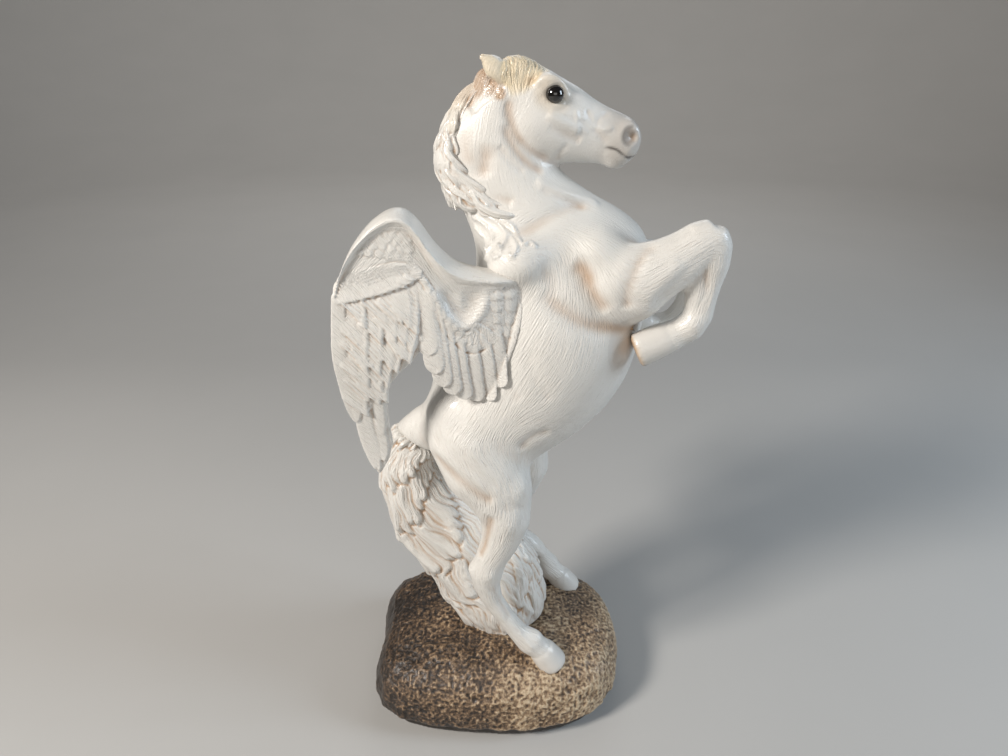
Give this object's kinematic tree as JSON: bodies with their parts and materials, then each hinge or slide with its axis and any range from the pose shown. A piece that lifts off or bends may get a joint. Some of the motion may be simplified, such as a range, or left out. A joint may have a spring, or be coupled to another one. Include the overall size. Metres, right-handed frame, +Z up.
{
  "type": "winged horse figurine",
  "caption": "Cast resin figurine of a rearing winged horse on a rough boulder base, with feathered wings, flowing mane, and a long tail that reaches the base.",
  "frame": {"origin": "middle of the flat underside, on the surface the figurine stands on", "axes": "+Z up, +X the way the horse faces, -Y the horse's right side, which is the side in the picture"},
  "size_m": [0.1588, 0.0957, 0.2992],
  "materials": {
    "resin": "ivory white cast resin with a satin lacquer and a warm wash in the recesses",
    "stone": "rough cast resin painted dark brown and dry-brushed with tan and bronze",
    "eye": "glossy black bead",
    "steel": "plain drawn rod",
    "felt": "dark felt"
  },
  "bodies": {
    "root": {"rock_base": "stone", "felt_pad": "felt", "torso": "resin", "neck_and_head": "resin", "right_hind_leg": "resin", "left_hind_leg": "resin", "right_foreleg": "resin", "left_foreleg": "resin", "tail": "resin", "right_wing": "resin", "left_wing": "resin", "right_eye": "eye", "left_eye": "eye", "neck_pin": "steel", "right_wing_pin": "steel", "left_wing_pin": "steel", "right_foreleg_pin": "steel", "left_foreleg_pin": "steel", "right_hind_pin": "steel", "left_hind_pin": "steel", "right_hoof_pin": "steel", "left_hoof_pin": "steel", "tail_pin": "steel"}
  },
  "joints": []
}
